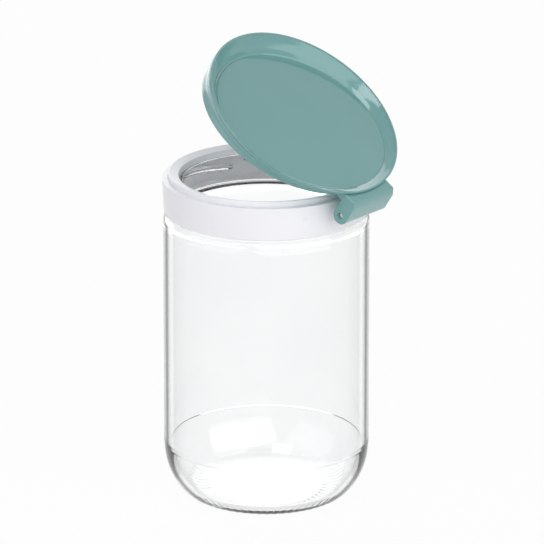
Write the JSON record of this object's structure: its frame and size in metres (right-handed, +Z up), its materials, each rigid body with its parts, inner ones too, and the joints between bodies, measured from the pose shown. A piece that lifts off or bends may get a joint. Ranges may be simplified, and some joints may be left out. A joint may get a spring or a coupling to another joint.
{
  "type": "flip-lid storage jar",
  "caption": "Clear glass storage jar with a screw-on white collar and a dished teal flip lid that swings on a hinge pin at the collar's edge.",
  "frame": {"origin": "middle of the jar's base, on the plane that its foot stands on", "axes": "+Z up along the jar's axis, +Y towards the lid's hinge, +X along the hinge pin"},
  "size_m": [0.0896, 0.1015, 0.1994],
  "materials": {
    "glass_jar": "clear, polished",
    "collar": "white, satin",
    "neck_seal": "pale, matt",
    "lid": "teal, gloss",
    "hinge_pin": "drawn"
  },
  "bodies": {
    "jar": {"glass_jar": "glass_jar"},
    "seal": {"neck_seal": "neck_seal"},
    "collar": {"collar": "collar"},
    "lid": {"lid": "lid", "hinge_pin": "hinge_pin"}
  },
  "joints": [
    {"name": "collar_lift", "type": "slide", "parent": "jar", "child": "seal", "axis": [0, 0, 1], "range_m": [0, 0.00334]},
    {"name": "collar_turn", "type": "hinge", "parent": "seal", "child": "collar", "pos_m": [0, 0, 0.1258], "axis": [0, 0, 1], "range_deg": [0, 50]},
    {"name": "lid_hinge", "type": "hinge", "parent": "collar", "child": "lid", "pos_m": [0, 0.0503, 0.1364], "axis": [-1, 0, 0], "range_deg": [-33, 57]}
  ],
  "couplings": [
    {"joint": "collar_lift", "follows": "collar_turn", "m_per_rad": 0.0038197}
  ]
}
